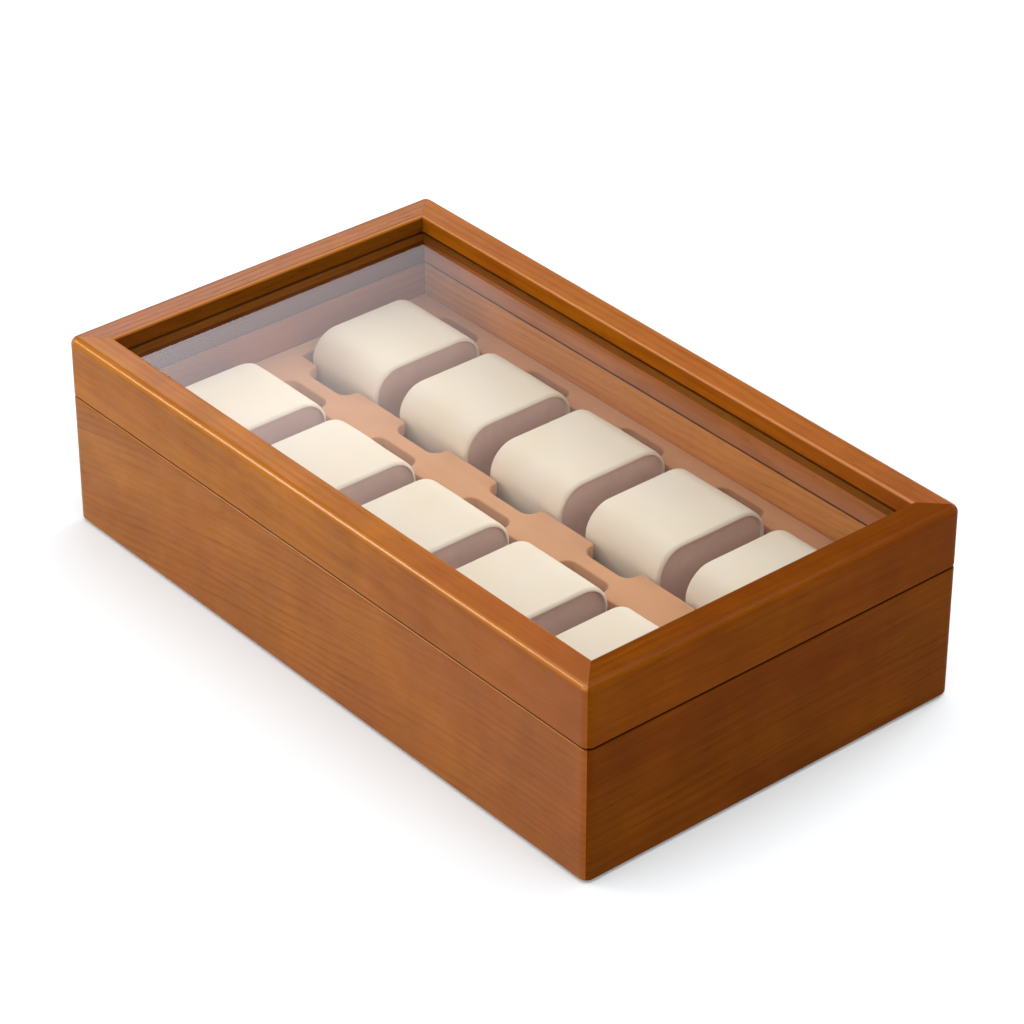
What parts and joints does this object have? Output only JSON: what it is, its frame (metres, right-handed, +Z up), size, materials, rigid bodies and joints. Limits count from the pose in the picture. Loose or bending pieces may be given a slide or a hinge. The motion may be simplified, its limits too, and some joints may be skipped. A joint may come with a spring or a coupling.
{
  "type": "watch box",
  "caption": "Mitred wooden display box with a hinged glass lid over rows of lift-out watch cushions in a suede-covered deck.",
  "frame": {"origin": "middle of the felt sheet's underside, on the surface the box stands on", "axes": "+X along the long side to the right seen from the front, +Y to the hinges at the rear, +Z up"},
  "size_m": [0.34, 0.2031, 0.093],
  "materials": {
    "wood": "satin, honey brown",
    "panel": "matt",
    "deck_suede": "matt suede, terracotta",
    "lining": "matt suede",
    "cushion_cover": "soft brushed cream",
    "cushion_end": "matt brown suede",
    "foam": "matt",
    "felt": "matt felt",
    "glass": "clear polished",
    "brass": "satin"
  },
  "bodies": {
    "base": {"base_front_wall": "wood", "base_rear_wall": "wood", "base_left_wall": "wood", "base_right_wall": "wood", "bottom_panel": "panel", "base_felt": "felt", "floor_lining": "lining", "centre_divider": "panel", "deck_battens_long": "panel", "deck_battens_short": "panel", "deck": "deck_suede", "hinge_left_base_leaf": "brass", "hinge_right_base_leaf": "brass", "hinge_pins": "brass", "hinge_base_screws": "brass"},
    "lid": {"lid_front_rail": "wood", "lid_rear_rail": "wood", "lid_left_rail": "wood", "lid_right_rail": "wood", "glass_pane": "glass", "glass_beads_long": "wood", "glass_beads_short": "wood", "hinge_left_lid_leaf": "brass", "hinge_right_lid_leaf": "brass", "hinge_lid_screws": "brass"},
    "cushion_front_1": {"cushion_front_1_cover": "cushion_cover", "cushion_front_1_core": "foam", "cushion_front_1_ends": "cushion_end"},
    "cushion_front_2": {"cushion_front_2_cover": "cushion_cover", "cushion_front_2_core": "foam", "cushion_front_2_ends": "cushion_end"},
    "cushion_front_3": {"cushion_front_3_cover": "cushion_cover", "cushion_front_3_core": "foam", "cushion_front_3_ends": "cushion_end"},
    "cushion_front_4": {"cushion_front_4_cover": "cushion_cover", "cushion_front_4_core": "foam", "cushion_front_4_ends": "cushion_end"},
    "cushion_front_5": {"cushion_front_5_cover": "cushion_cover", "cushion_front_5_core": "foam", "cushion_front_5_ends": "cushion_end"},
    "cushion_rear_1": {"cushion_rear_1_cover": "cushion_cover", "cushion_rear_1_core": "foam", "cushion_rear_1_ends": "cushion_end"},
    "cushion_rear_2": {"cushion_rear_2_cover": "cushion_cover", "cushion_rear_2_core": "foam", "cushion_rear_2_ends": "cushion_end"},
    "cushion_rear_3": {"cushion_rear_3_cover": "cushion_cover", "cushion_rear_3_core": "foam", "cushion_rear_3_ends": "cushion_end"},
    "cushion_rear_4": {"cushion_rear_4_cover": "cushion_cover", "cushion_rear_4_core": "foam", "cushion_rear_4_ends": "cushion_end"},
    "cushion_rear_5": {"cushion_rear_5_cover": "cushion_cover", "cushion_rear_5_core": "foam", "cushion_rear_5_ends": "cushion_end"}
  },
  "joints": [
    {"name": "lid_hinge", "type": "hinge", "parent": "base", "child": "lid", "pos_m": [0, 0.1017, 0.064], "axis": [-1, 0, 0], "range_deg": [0, 100]},
    {"name": "front_1_lift", "type": "slide", "parent": "base", "child": "cushion_front_1", "axis": [0, 0, 1], "range_m": [0, 0.019]},
    {"name": "front_2_lift", "type": "slide", "parent": "base", "child": "cushion_front_2", "axis": [0, 0, 1], "range_m": [0, 0.019]},
    {"name": "front_3_lift", "type": "slide", "parent": "base", "child": "cushion_front_3", "axis": [0, 0, 1], "range_m": [0, 0.019]},
    {"name": "front_4_lift", "type": "slide", "parent": "base", "child": "cushion_front_4", "axis": [0, 0, 1], "range_m": [0, 0.019]},
    {"name": "front_5_lift", "type": "slide", "parent": "base", "child": "cushion_front_5", "axis": [0, 0, 1], "range_m": [0, 0.019]},
    {"name": "rear_1_lift", "type": "slide", "parent": "base", "child": "cushion_rear_1", "axis": [0, 0, 1], "range_m": [0, 0.019]},
    {"name": "rear_2_lift", "type": "slide", "parent": "base", "child": "cushion_rear_2", "axis": [0, 0, 1], "range_m": [0, 0.019]},
    {"name": "rear_3_lift", "type": "slide", "parent": "base", "child": "cushion_rear_3", "axis": [0, 0, 1], "range_m": [0, 0.019]},
    {"name": "rear_4_lift", "type": "slide", "parent": "base", "child": "cushion_rear_4", "axis": [0, 0, 1], "range_m": [0, 0.019]},
    {"name": "rear_5_lift", "type": "slide", "parent": "base", "child": "cushion_rear_5", "axis": [0, 0, 1], "range_m": [0, 0.019]}
  ]
}
